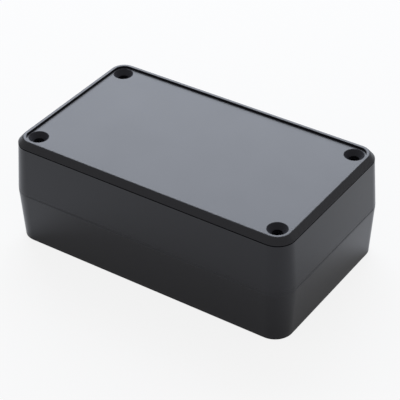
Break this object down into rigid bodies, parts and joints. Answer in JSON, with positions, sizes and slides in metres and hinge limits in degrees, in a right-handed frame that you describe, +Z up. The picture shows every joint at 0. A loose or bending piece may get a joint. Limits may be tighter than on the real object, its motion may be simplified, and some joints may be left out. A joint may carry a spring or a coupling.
{
  "type": "plastic project box",
  "caption": "Rectangular moulded plastic electronics enclosure: a deep tub with walls widest at mid height, closed by a flat lid with a raised chamfered rim and countersunk corner screw holes.",
  "frame": {"origin": "centre of the flat underside, on the surface that the box stands on", "axes": "+X along the length, +Y along the width, +Z up through the lid"},
  "size_m": [0.112, 0.0662, 0.0407],
  "materials": {
    "base_plastic": "black moulded ABS, fine satin",
    "lid_plastic": "black moulded ABS, smooth satin field inside a fine-grained rim"
  },
  "bodies": {
    "root": {"case_base": "base_plastic", "case_lid": "lid_plastic"}
  },
  "joints": []
}
